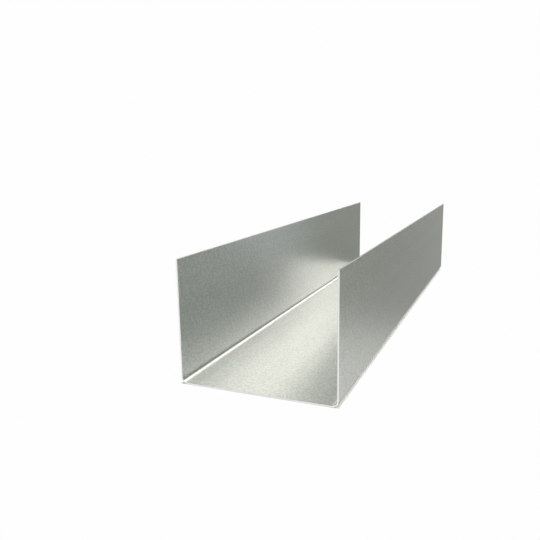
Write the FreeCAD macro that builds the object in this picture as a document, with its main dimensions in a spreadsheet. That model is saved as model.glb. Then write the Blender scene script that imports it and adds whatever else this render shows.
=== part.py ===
# Drywall track: one strip of galvanised sheet steel, roll-formed into a plain U.
# The web lies on the floor and the two legs stand up beside the studs that drop in between them.
# Millimetres, +Z up, +Y along the track, origin on the floor under the middle of the web.
import FreeCAD, Part
import Sketcher
import math
import os

# Driving dimensions: alias, value, meaning
SIZES = [
    ("stud_depth", 63.5, "depth of the stud that stands in the track"),
    ("stud_clearance", 1.0, "room that the stud has between the two legs"),
    ("leg_height", 50.8, "from the floor to the slit edge of a leg"),
    ("sheet_thickness", 0.6, "thickness of the coated sheet"),
    ("inside_bend", 2.1, "radius on the inside of each bend"),
    ("track_length", 275.0, "from one sheared end to the other"),
]
SHEET_NAME = "Sizes"
VOLUME_TOLERANCE = 1e-6

# Numbers that name a point of a drawn element
START, END, CENTRE = range(1, 4)
# Numbers that name the drawing's floor line, which starts at its origin, and its vertical middle line
FLOOR_LINE = -1
MIDDLE_LINE = -2


def add_size_sheet(doc):
    """The spreadsheet that holds one driving dimension in each row."""
    sheet = doc.addObject("Spreadsheet::Sheet", SHEET_NAME)
    for row, (alias, value, meaning) in enumerate(SIZES, start=1):
        sheet.set(f"A{row}", meaning)
        sheet.set(f"B{row}", str(value))
        sheet.setAlias(f"B{row}", alias)
    doc.recompute()
    return sheet


def origin_plane(body, role):
    """One of the body's own origin planes, found by its role."""
    return next(plane for plane in body.Origin.OriginFeatures if plane.Role == role)


def add_line(sketch, first, last):
    """A straight stretch between two (across, up) points."""
    ends = [FreeCAD.Vector(*point, 0) for point in (first, last)]
    return sketch.addGeometry(Part.LineSegment(*ends))


def add_bend(sketch, centre, radius, side):
    """A quarter circle from the web up to a leg, on the right (side 1) or the left (side -1)."""
    circle = Part.Circle(FreeCAD.Vector(*centre, 0), FreeCAD.Vector(0, 0, 1), radius)
    first = -math.pi / 2 if side > 0 else math.pi
    return sketch.addGeometry(Part.ArcOfCircle(circle, first, first + math.pi / 2))


def draw_side(sketch, sheet, side, underside, web_top):
    """One leg with its two concentric bends, joined to the ends of the web's two lines."""
    half_inside = (sheet.stud_depth + sheet.stud_clearance) / 2
    half_outside = half_inside + sheet.sheet_thickness
    outside_bend = sheet.inside_bend + sheet.sheet_thickness
    bend_centre = (side * (half_inside - sheet.inside_bend), outside_bend)
    outer_foot = (side * half_outside, outside_bend)
    outer_tip = (side * half_outside, sheet.leg_height)
    inner_tip = (side * half_inside, sheet.leg_height)
    inner_foot = (side * half_inside, outside_bend)

    outer_leg = add_line(sketch, outer_foot, outer_tip)
    slit_edge = add_line(sketch, outer_tip, inner_tip)
    inner_leg = add_line(sketch, inner_tip, inner_foot)
    outer_arc = add_bend(sketch, bend_centre, outside_bend, side)
    inner_arc = add_bend(sketch, bend_centre, sheet.inside_bend, side)

    # An arc runs anticlockwise, so it starts at the web on the right and at the leg on the left.
    at_web, at_leg = (START, END) if side > 0 else (END, START)
    web_end = END if side > 0 else START
    sketch.addConstraint([
        Sketcher.Constraint("Tangent", outer_arc, at_web, underside, web_end),
        Sketcher.Constraint("Tangent", outer_arc, at_leg, outer_leg, START),
        Sketcher.Constraint("Coincident", outer_leg, END, slit_edge, START),
        Sketcher.Constraint("Coincident", slit_edge, END, inner_leg, START),
        Sketcher.Constraint("Tangent", inner_arc, at_leg, inner_leg, END),
        Sketcher.Constraint("Tangent", inner_arc, at_web, web_top, web_end),
        Sketcher.Constraint("Coincident", outer_arc, CENTRE, inner_arc, CENTRE),
        Sketcher.Constraint("Vertical", outer_leg),
        Sketcher.Constraint("Horizontal", slit_edge),
        Sketcher.Constraint("Vertical", inner_leg),
    ])
    return {
        "outer_leg": outer_leg,
        "slit_edge": slit_edge,
        "inner_leg": inner_leg,
        "outer_arc": outer_arc,
        "inner_arc": inner_arc,
    }


def draw_section(body, sheet):
    """The U section across the track: web, two bends and two legs, all of one thickness."""
    section = body.newObject("Sketcher::SketchObject", "Section")
    section.AttachmentSupport = (origin_plane(body, "XZ_Plane"), [""])
    section.MapMode = "FlatFace"

    half_flat = (sheet.stud_depth + sheet.stud_clearance) / 2 - sheet.inside_bend
    underside = add_line(section, (-half_flat, 0), (half_flat, 0))
    top_height = sheet.sheet_thickness
    web_top = add_line(section, (-half_flat, top_height), (half_flat, top_height))
    right = draw_side(section, sheet, 1, underside, web_top)
    left = draw_side(section, sheet, -1, underside, web_top)

    section.addConstraint([
        Sketcher.Constraint("Symmetric", underside, START, underside, END, MIDDLE_LINE),
        Sketcher.Constraint("PointOnObject", underside, START, FLOOR_LINE),
        Sketcher.Constraint("Equal", right["outer_arc"], left["outer_arc"]),
        Sketcher.Constraint("Equal", right["inner_arc"], left["inner_arc"]),
        Sketcher.Constraint("Equal", right["outer_leg"], left["outer_leg"]),
    ])

    # Each dimension: its name, what ties it to the sizes, its kind, and what it measures
    dimensions = [
        ("inside_width", f"{SHEET_NAME}.stud_depth + {SHEET_NAME}.stud_clearance",
         "DistanceX", (left["inner_leg"], END, right["inner_leg"], END)),
        ("leg_height", f"{SHEET_NAME}.leg_height",
         "DistanceY", (FLOOR_LINE, START, right["outer_leg"], END)),
        ("sheet_thickness", f"{SHEET_NAME}.sheet_thickness", "Distance", (right["slit_edge"],)),
        ("inside_bend", f"{SHEET_NAME}.inside_bend", "Radius", (right["inner_arc"],)),
    ]
    for name, expression, kind, measured in dimensions:
        drawn_size = section.evalExpression(expression)
        index = section.addConstraint(Sketcher.Constraint(kind, *measured, drawn_size))
        section.renameConstraint(index, name)
        section.setExpression(f"Constraints.{name}", expression)
    return section


def make_track(doc, sheet):
    """The roll-formed track: its section carried along the length, half to each side of the origin."""
    body = doc.addObject("PartDesign::Body", "Track")
    body.Label = "track"
    body.Placement = FreeCAD.Placement()
    section = draw_section(body, sheet)
    rolled = body.newObject("PartDesign::Pad", "RolledLength")
    rolled.Profile = section
    rolled.SideType = "Symmetric"
    rolled.setExpression("Length", f"{SHEET_NAME}.track_length")
    body.Tip = rolled
    doc.recompute()
    return body


def strip_volume(sheet):
    """Volume of the flat strip that the track is rolled from, along the middle of its thickness."""
    outside_bend = sheet.inside_bend + sheet.sheet_thickness
    web_flat = sheet.stud_depth + sheet.stud_clearance - 2 * sheet.inside_bend
    leg_flat = sheet.leg_height - outside_bend
    bend_run = math.pi / 2 * (sheet.inside_bend + sheet.sheet_thickness / 2)
    strip_width = web_flat + 2 * leg_flat + 2 * bend_run
    return strip_width * sheet.sheet_thickness * sheet.track_length


def check(doc, sheet, body):
    """Stops if an object failed, the section is loose, or the track isn't one solid of its right volume."""
    for item in doc.Objects:
        if "Invalid" in item.State or "Error" in item.State:
            raise RuntimeError(f"{item.Name} failed: {item.State}")
    section = doc.getObject("Section")
    if section.solve() != 0 or not section.FullyConstrained:
        raise RuntimeError("the section sketch isn't fully constrained")
    shape = body.Shape
    if shape.isNull() or not shape.isValid() or len(shape.Solids) != 1:
        raise RuntimeError(f"{body.Label} isn't one valid solid")
    expected = strip_volume(sheet)
    if abs(shape.Volume - expected) > VOLUME_TOLERANCE * expected:
        raise RuntimeError(f"{body.Label} holds {shape.Volume:.3f} mm3, and its strip {expected:.3f} mm3")


def main():
    doc = FreeCAD.newDocument("DrywallTrack")
    sheet = add_size_sheet(doc)
    track = make_track(doc, sheet)
    check(doc, sheet, track)
    os.makedirs("parts", exist_ok=True)
    track.Shape.exportStep(os.path.join("parts", f"{track.Label}.step"))
    box = track.Shape.BoundBox
    outer_size = f"{box.XLength:.2f} x {box.YLength:.2f} x {box.ZLength:.2f} mm"
    print(f"{track.Label}: {outer_size}, {track.Shape.Volume:.1f} mm3")


main()
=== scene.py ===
import math

import bpy
import numpy as np
from mathutils import Matrix, Vector


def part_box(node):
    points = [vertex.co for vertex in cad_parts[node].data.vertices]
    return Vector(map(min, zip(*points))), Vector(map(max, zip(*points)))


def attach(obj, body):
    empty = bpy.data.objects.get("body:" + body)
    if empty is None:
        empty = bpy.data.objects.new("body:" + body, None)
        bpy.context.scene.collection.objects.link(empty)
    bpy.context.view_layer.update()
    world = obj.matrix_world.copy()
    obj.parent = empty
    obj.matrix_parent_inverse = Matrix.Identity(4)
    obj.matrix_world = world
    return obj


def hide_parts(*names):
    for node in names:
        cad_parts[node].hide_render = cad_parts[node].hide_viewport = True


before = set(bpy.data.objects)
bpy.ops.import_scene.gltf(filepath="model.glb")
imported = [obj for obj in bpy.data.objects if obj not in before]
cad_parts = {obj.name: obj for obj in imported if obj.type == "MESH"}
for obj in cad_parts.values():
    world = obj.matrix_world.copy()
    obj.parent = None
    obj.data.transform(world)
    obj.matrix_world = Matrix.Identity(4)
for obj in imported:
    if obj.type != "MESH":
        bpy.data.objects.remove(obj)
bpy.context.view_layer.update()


# Shader maths: a value on its way through a node tree. Operators add Math nodes, node() adds any other.
class Flow:
    def __init__(self, tree, socket=None):
        self.tree = tree
        self.socket = socket

    def node(self, kind, settings=None, sockets=None, output=0):
        made = self.tree.nodes.new(kind)
        for name, value in (settings or {}).items():
            setattr(made, name, value)
        for name, value in (sockets or {}).items():
            if isinstance(value, Flow):
                self.tree.links.new(value.socket, made.inputs[name])
            else:
                made.inputs[name].default_value = value
        return Flow(self.tree, made.outputs[output]) if made.outputs else made

    def other(self, output):        # another output of the same node
        return Flow(self.tree, self.socket.node.outputs[output])

    def maths(self, operation, *values):
        return self.node("ShaderNodeMath", {"operation": operation}, dict(enumerate(values)))

    def vectors(self, operation, values, output="Vector"):
        return self.node("ShaderNodeVectorMath", {"operation": operation}, dict(enumerate(values)), output)

    def eased(self, first, last):        # 0 up to first, 1 from last on, eased in between
        sockets = {"Value": self, "From Min": first, "From Max": last}
        return self.node("ShaderNodeMapRange", {"interpolation_type": "SMOOTHSTEP"}, sockets)

    def mixed(self, first, last):        # colours: first where this is 0, last where it is 1
        factor, colourA, colourB, colourResult = 0, 6, 7, 2        # the Mix node's sockets for colours
        sockets = {factor: self, colourA: first, colourB: last}
        return self.node("ShaderNodeMix", {"data_type": "RGBA"}, sockets, colourResult)

    def __add__(self, other):
        return self.maths("ADD", self, other)

    def __radd__(self, other):
        return self.maths("ADD", other, self)

    def __sub__(self, other):
        return self.maths("SUBTRACT", self, other)

    def __rsub__(self, other):
        return self.maths("SUBTRACT", other, self)

    def __mul__(self, other):
        return self.maths("MULTIPLY", self, other)

    def __rmul__(self, other):
        return self.maths("MULTIPLY", other, self)


def newMaterial(name):
    material = bpy.data.materials.new(name)
    material.use_nodes = True
    material.node_tree.nodes.clear()
    return material, Flow(material.node_tree)


# Zinc-coated sheet from the mill: fine grain, small spangle, long streaks, bare cut edges. In metres.
zincFinish = {
    "lightZinc": (0.758, 0.783, 0.784, 1.0),
    "darkZinc": (0.608, 0.633, 0.634, 1.0),
    # painted shade: the dark colour of the line round the inside of each bend
    "paintedShadeZinc": (0.27, 0.28, 0.28, 1.0),
    "slitSteel": (0.60, 0.60, 0.59, 1.0),
    # bare steel, made paler to paint in the highlight along the sheared ends
    "shearedSteelAndHighlight": (0.88, 0.88, 0.87, 1.0),
    "grazingTint": (0.6, 0.6, 0.6, 1.0),
    "roughness": 0.276,
    "spangleGloss": 0.014,
    "slitRoughness": 0.42,
    "shearedRoughness": 0.36,
    "grainWidth": 0.0007,
    "grainLength": 0.0017,
    "grainTone": 3.1,
    "grainDepth": 0.00002,
    "spangleSize": 0.0024,
    "spangleTone": 0.3,
    "streakWidth": 0.0035,
    "streakLength": 0.16,
    "streakTone": 0.5,
    "noiseDetail": 1.0,
    "noiseMiddle": 0.5,
}


def drawnNoise(start, place, width, length):
    # Noise of the place counted in widths across the strip and up its legs, and in lengths along it.
    drawn = start.vectors("MULTIPLY", (place, (1 / width, 1 / length, 1 / width)))
    sockets = {"Vector": drawn, "Scale": 1.0, "Detail": zincFinish["noiseDetail"]}
    return start.node("ShaderNodeTexNoise", {}, sockets)


def zincCoat():
    spec = zincFinish
    material, start = newMaterial("galvanised_sheet")
    place = start.node("ShaderNodeTexCoord", output="Object")

    # Spangle: cells of frozen zinc, each with its own tone and gloss
    sockets = {"Vector": place, "Scale": 1 / spec["spangleSize"]}
    cells = start.node("ShaderNodeTexVoronoi", {}, sockets, "Color")
    spangle = start.node("ShaderNodeSeparateColor", {}, {0: cells}, "Red")

    # Streaks and grain: noise drawn out along the strip by the mill's rolls, the grain a little proud
    streak = drawnNoise(start, place, spec["streakWidth"], spec["streakLength"])
    grain = drawnNoise(start, place, spec["grainWidth"], spec["grainLength"])
    peel = start.node("ShaderNodeBump", {}, {"Height": grain, "Distance": spec["grainDepth"]})

    middle = spec["noiseMiddle"]
    tone = middle + spec["grainTone"] * (grain - middle) + spec["spangleTone"] * (spangle - middle)
    tone = tone + spec["streakTone"] * (streak - middle)
    # Painted shade: a dark line round the inside of each bend, mixed into the zinc's colour
    mark = start.node("ShaderNodeAttribute", {"attribute_name": "paintedBendShade"}, output="Fac")
    zinc = mark.mixed(tone.mixed(spec["darkZinc"], spec["lightZinc"]), spec["paintedShadeZinc"])
    gloss = spec["roughness"] + spec["spangleGloss"] * spangle

    # Cut edges: dull where the coil was slit, bright where the length was sheared off; the sheared ends'
    # pale colour is partly bare steel and partly a painted highlight along their burr
    slit = start.node("ShaderNodeAttribute", {"attribute_name": "slitEdge"}, output="Fac")
    sheared = start.node("ShaderNodeAttribute", {"attribute_name": "shearedEnd"}, output="Fac")
    colour = sheared.mixed(slit.mixed(zinc, spec["slitSteel"]), spec["shearedSteelAndHighlight"])
    gloss = gloss + slit * (spec["slitRoughness"] - gloss)
    gloss = gloss + sheared * (spec["shearedRoughness"] - gloss)
    coat = start.node("ShaderNodeBsdfPrincipled", {}, {
        "Base Color": colour,
        "Metallic": 1.0,
        "Roughness": gloss,
        "Specular Tint": spec["grazingTint"],
        "Normal": peel,
    })
    start.node("ShaderNodeOutputMaterial", {}, {"Surface": coat})
    return material


# The track: one strip of sheet, bent twice and cut to length. Metres and degrees.
trackSheet = {
    "piece": "rolled_track",
    "node": "track",
    "body": "root",
    "slot": "galvanised_steel",
    "thickness": 0.0006,
    "insideBend": 0.0021,
    "edgeRound": 0.00006,
    "endFlat": 8,        # how much of an end's rounding gives way to its flat cap
    # where the painted shade line inside each bend is darkest, and its width, in degrees of turn
    "markTurn": 58,
    "markWidth": 12,
    "webSteps": 40,
    "bendSteps": 14,
    "legSteps": 30,
    "lengthSteps": 150,
    "edgeSteps": 4,
}


def stripSizes(low, high, spec):
    # The flat half web, the run of one bend along the middle of the sheet, the flat leg, the bend's radius
    half = (high.x - low.x) / 2
    middleBend = spec["insideBend"] + spec["thickness"] / 2
    webFlat = half - spec["thickness"] - spec["insideBend"]
    bendRun = middleBend * math.pi / 2
    legFlat = (high.z - low.z) - spec["thickness"] - spec["insideBend"]
    return webFlat, bendRun, legFlat, middleBend


def bendStrip(across, proud, webFlat, bendRun, middleBend, thickness):
    # A point "across" the flat strip goes straight out along the web, then round the bend by its run over
    # the bend's radius, then straight up the leg. "proud" stands off the middle of the sheet, inwards.
    side = np.sign(across)
    run = np.abs(across)
    turn = np.clip((run - webFlat) / middleBend, 0, math.pi / 2)
    out = np.minimum(run, webFlat) + middleBend * np.sin(turn)
    up = thickness / 2 + middleBend * (1 - np.cos(turn)) + np.maximum(run - webFlat - bendRun, 0)
    return side * (out - proud * np.sin(turn)), up + proud * np.cos(turn)


def crowded(first, last, steps, guard):
    # Even steps between first and last, and one close to each of them so that shading stays flat up to it.
    even = np.linspace(first, last, steps + 1)
    return np.concatenate([[first + guard], even[1:-1], [last - guard]])


def addMark(mesh, name, domain, values):
    mesh.attributes.new(name, "FLOAT", domain).data.foreach_set("value", values.astype(np.float32))


def makeTrack():
    spec = trackSheet
    low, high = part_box(spec["node"])
    webFlat, bendRun, legFlat, middleBend = stripSizes(low, high, spec)
    halfStrip = webFlat + bendRun + legFlat
    rounding = spec["edgeRound"]
    coreAcross = halfStrip - rounding
    coreProud = spec["thickness"] / 2 - rounding
    guard = rounding / 2        # how close a row or ring lies beside an edge

    # Rows across the strip, from the left slit edge to the right one
    bendEnd = webFlat + bendRun
    rightRows = np.concatenate([
        np.linspace(0, webFlat - rounding, spec["webSteps"] // 2),
        np.linspace(webFlat, bendEnd, spec["bendSteps"] + 1),
        np.linspace(bendEnd + rounding, coreAcross - guard, spec["legSteps"]),
        [coreAcross],
    ])
    rows = np.concatenate([-rightRows[:0:-1], rightRows])

    # One closed loop round the strip's section: a core line and the way that its rounded edge faces.
    # It starts and ends at the left slit edge, so point i is opposite point (last - i).
    steps = spec["edgeSteps"]
    quarter = np.linspace(0, math.pi / 2, steps + 1)
    corner = np.ones(steps)
    flat = np.ones(len(rows))
    loopWay = np.concatenate([
        math.pi + quarter[:-1], 1.5 * math.pi * flat, 1.5 * math.pi + quarter[1:],
        quarter[:-1], math.pi / 2 * flat, math.pi / 2 + quarter[1:],
    ])
    loopAcross = np.concatenate([
        -coreAcross * corner, rows, coreAcross * corner,
        coreAcross * corner, rows[::-1], -coreAcross * corner,
    ])
    oneSide = np.concatenate([corner, flat, corner])
    loopProud = np.concatenate([-coreProud * oneSide, coreProud * oneSide])

    # Rings along the length: each has its place and how far the section has grown to its full edge.
    halfLength = (high.y - low.y) / 2
    rise = np.linspace(math.radians(spec["endFlat"]), math.pi / 2, steps + 1)
    endPlace = halfLength - rounding + rounding * np.cos(rise)
    endGrown = rounding * np.sin(rise)
    innerPlace = crowded(-endPlace[-1], endPlace[-1], spec["lengthSteps"], guard)
    ringPlace = np.concatenate([-endPlace, innerPlace, endPlace[::-1]])
    ringGrown = np.concatenate([endGrown, np.full(len(innerPlace), rounding), endGrown[::-1]])

    # Every ring has the same loop, grown by its rounding and then bent into the track.
    across = loopAcross[None, :] + ringGrown[:, None] * np.cos(loopWay)[None, :]
    proud = loopProud[None, :] + ringGrown[:, None] * np.sin(loopWay)[None, :]
    x, z = bendStrip(across, proud, webFlat, bendRun, middleBend, spec["thickness"])
    y = np.broadcast_to(ringPlace[:, None], x.shape)
    points = np.stack([x, y, z], axis=-1).reshape(-1, 3)

    # Faces between neighbouring rings, and a cap across each end
    rings, loop = x.shape
    index = np.arange(rings * loop).reshape(rings, loop)
    around = np.roll(index, -1, axis=1)
    skin = np.stack([index[:-1], around[:-1], around[1:], index[1:]], axis=-1).reshape(-1, 4)
    pairs = np.arange(loop // 2 - 1)
    cap = np.stack([pairs, loop - 1 - pairs, loop - 2 - pairs, pairs + 1], axis=-1)
    faces = np.concatenate([skin, cap, (rings - 1) * loop + cap[:, ::-1]])

    # Cut faces: the slit edges with their roundings, and the sheared ends from the last full ring outwards
    slitLoop = np.ones(loop, dtype=bool)
    slitLoop[steps:steps + len(rows) - 1] = False
    slitLoop[loop // 2 + steps:loop // 2 + steps + len(rows) - 1] = False
    endRings = np.zeros(rings - 1, dtype=bool)
    endRings[:steps] = True
    endRings[-steps:] = True
    slit = np.concatenate([np.tile(slitLoop, rings - 1), np.zeros(2 * len(cap), dtype=bool)])
    sheared = np.concatenate([np.repeat(endRings, loop), np.ones(2 * len(cap), dtype=bool)])

    # Painted shade: a dark line round the inside of each bend, strongest at one turn and fading as a bell
    # curve
    turn = np.degrees(np.clip((np.abs(loopAcross) - webFlat) / middleBend, 0, math.pi / 2))
    mark = np.exp(-((turn - spec["markTurn"]) / spec["markWidth"]) ** 2) * (loopProud > 0)

    mesh = bpy.data.meshes.new(spec["piece"])
    mesh.from_pydata(points.tolist(), [], faces.tolist())
    mesh.polygons.foreach_set("use_smooth", np.ones(len(faces), dtype=bool))
    addMark(mesh, "paintedBendShade", "POINT", np.tile(mark, rings))
    addMark(mesh, "slitEdge", "FACE", slit)
    addMark(mesh, "shearedEnd", "FACE", sheared)
    mesh.update()
    piece = bpy.data.objects.new(spec["piece"], mesh)
    bpy.context.scene.collection.objects.link(piece)
    mesh.materials.append(zincCoat())
    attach(piece, spec["body"])
    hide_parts(spec["node"])
    print("track made,", len(points), "points,", len(faces), "faces,", int((slit | sheared).sum()), "cut")


makeTrack()

# Floor: white paper that takes the shadow under the track and fades out into the white table. In metres.
floorPaper = {
    "reach": 3.0,
    "colour": (0.88, 0.895, 0.93, 1.0),
    "plainTo": 0.0,
    "fadeTo": 0.0002,
}


def makeFloor():
    # The paper fades by a point's distance from the rectangle that the track stands on.
    low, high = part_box(trackSheet["node"])
    footprint = ((high.x - low.x) / 2, (high.y - low.y) / 2, 0.0)
    material, start = newMaterial("floor_paper")
    place = start.node("ShaderNodeTexCoord", output="Object")
    mirrored = start.vectors("ABSOLUTE", (place,))
    beside = start.vectors("SUBTRACT", (mirrored, footprint))
    outside = start.vectors("MAXIMUM", (beside, (0.0, 0.0, 0.0)))
    away = start.vectors("LENGTH", (outside,), "Value")
    fade = away.eased(floorPaper["plainTo"], floorPaper["fadeTo"])
    paper = start.node("ShaderNodeBsdfDiffuse", {}, {"Color": floorPaper["colour"]})
    gone = start.node("ShaderNodeBsdfTransparent")
    both = start.node("ShaderNodeMixShader", {}, {0: fade, 1: paper, 2: gone})
    start.node("ShaderNodeOutputMaterial", {}, {"Surface": both})

    corners = np.array([[-1, -1, 0], [1, -1, 0], [1, 1, 0], [-1, 1, 0]]) * floorPaper["reach"]
    mesh = bpy.data.meshes.new("floor")
    mesh.from_pydata(corners.tolist(), [], [(0, 1, 2, 3)])
    mesh.materials.append(material)
    floor = bpy.data.objects.new("floor", mesh)
    bpy.context.scene.collection.objects.link(floor)
    print("floor laid")


makeFloor()

# Studio: a dim room, a white backdrop behind the track, and a white table that ends short on the right.
# Compass angles are from +Y towards +X, heights are from the horizon, both in degrees.
studioRoom = {
    "white": (0.99, 0.99, 0.99, 1.0),
    "tableSide": (1.0, 0.985, 0.92, 1.0),        # the table on its short side
    "room": (0.352, 0.374, 0.324, 1.0),
    "horizonSoft": 0.002,        # the sine of a very small angle
    "angles": {
        "backdropFrom": -49.5,
        "backdropTo": 5.4,
        "backdropTop": 17.0,
        "backdropSoft": 3.1,
        "tableEdge": -19.3,
        "tableSoft": 5.0,
        "tableShortTo": 110,        # the short side reaches from the backdrop to here
    },
}


def makeRoom():
    world = bpy.data.worlds.new("studio")
    world.use_nodes = True
    world.node_tree.nodes.clear()
    start = Flow(world.node_tree)
    way = start.node("ShaderNodeTexCoord", output="Generated")
    x = start.node("ShaderNodeSeparateXYZ", {}, {0: way}, "X")
    rise = x.other("Z")
    compass = start.maths("ARCTAN2", x, x.other("Y"))
    angle = {name: math.radians(value) for name, value in studioRoom["angles"].items()}
    soft = angle["backdropSoft"]

    # Backdrop: white between two compass angles, up to its top
    aside = compass.eased(angle["backdropFrom"] - soft, angle["backdropFrom"])
    aside = aside * compass.eased(angle["backdropTo"] + soft, angle["backdropTo"])
    backdrop = aside * rise.eased(math.sin(angle["backdropTop"] + soft), math.sin(angle["backdropTop"]))

    # Table: white up to the horizon, but on its short side only up to its edge
    shortSide = compass.eased(angle["backdropTo"], angle["backdropTo"] + soft)
    shortSide = shortSide * compass.eased(angle["tableShortTo"] + soft, angle["tableShortTo"])
    nearby = rise.eased(math.sin(angle["tableEdge"] + angle["tableSoft"]), math.sin(angle["tableEdge"]))
    farOff = (1 - shortSide) * rise.eased(0.0, -studioRoom["horizonSoft"])
    table = start.maths("MAXIMUM", nearby, farOff)

    white = start.maths("MAXIMUM", backdrop, table)
    bright = shortSide.mixed(studioRoom["white"], studioRoom["tableSide"])
    colour = white.mixed(studioRoom["room"], bright)
    light = start.node("ShaderNodeBackground", {}, {"Color": colour})
    start.node("ShaderNodeOutputWorld", {}, {"Surface": light})
    bpy.context.scene.world = world
    print("room painted")


makeRoom()

# Softboxes: each hangs at a compass angle and a height in degrees, sizes in metres
softboxRing = {"centre": (0.0, 0.0, 0.025), "distance": 1.5, "colour": (1.084, 1.013, 0.911)}
softboxes = {
    "back_right": {"compass": 28.8, "height": 16.4, "wide": 1.24, "tall": 0.39, "strength": 3.77},
    "overhead": {"compass": 36.0, "height": 59.5, "wide": 1.96, "tall": 2.00, "strength": 1.40},
    "back_left": {"compass": -27.8, "height": 41.5, "wide": 0.54, "tall": 0.54, "strength": 0.46},
    "right": {"compass": 77.2, "height": 20.6, "wide": 0.94, "tall": 0.98, "strength": 1.11},
    "front": {"compass": 144, "height": 35, "wide": 1.2, "tall": 0.8, "strength": 0.5},
}


def hangSoftbox(name, box):
    # The box faces the middle, and its power makes its face as bright as its strength.
    compass, height = math.radians(box["compass"]), math.radians(box["height"])
    level = math.cos(height)
    away = Vector((math.sin(compass) * level, math.cos(compass) * level, math.sin(height)))
    lamp = bpy.data.lights.new(name, "AREA")
    lamp.shape = "RECTANGLE"
    lamp.size = box["wide"]
    lamp.size_y = box["tall"]
    lamp.color = softboxRing["colour"]
    lamp.energy = box["strength"] * math.pi * box["wide"] * box["tall"]
    holder = bpy.data.objects.new(name, lamp)
    bpy.context.scene.collection.objects.link(holder)
    holder.rotation_euler = away.to_track_quat("Z", "Y").to_euler()
    holder.location = Vector(softboxRing["centre"]) + softboxRing["distance"] * away


for name, box in softboxes.items():
    hangSoftbox(name, box)
print("studio lit,", len(softboxes), "softboxes")

# Camera: where the photograph was taken from, in metres and degrees, with its lens in millimetres
photoView = {
    "place": (0.08928, -0.32651, 0.08987),
    "yaw": -23.570,
    "down": 11.192,
    "roll": 0.928,
    "lens": 38.895,
    "sensor": 36.0,
    "nearest": 0.01,
}


def makeCamera():
    yaw, down, roll = (math.radians(photoView[name]) for name in ("yaw", "down", "roll"))
    ahead = Vector((math.sin(yaw) * math.cos(down), math.cos(yaw) * math.cos(down), -math.sin(down)))
    level = Vector((math.cos(yaw), -math.sin(yaw), 0))
    under = ahead.cross(level)
    right = math.cos(roll) * level + math.sin(roll) * under
    upward = math.sin(roll) * level - math.cos(roll) * under
    data = bpy.data.cameras.new("photo_view")
    data.lens = photoView["lens"]
    data.sensor_width = photoView["sensor"]
    data.clip_start = photoView["nearest"]
    camera = bpy.data.objects.new("photo_view", data)
    bpy.context.scene.collection.objects.link(camera)
    turn = Matrix((right, upward, -ahead)).transposed().to_4x4()
    camera.matrix_world = Matrix.Translation(photoView["place"]) @ turn
    bpy.context.scene.camera = camera
    print("camera placed")


makeCamera()
bpy.context.scene.view_settings.view_transform = "Standard"
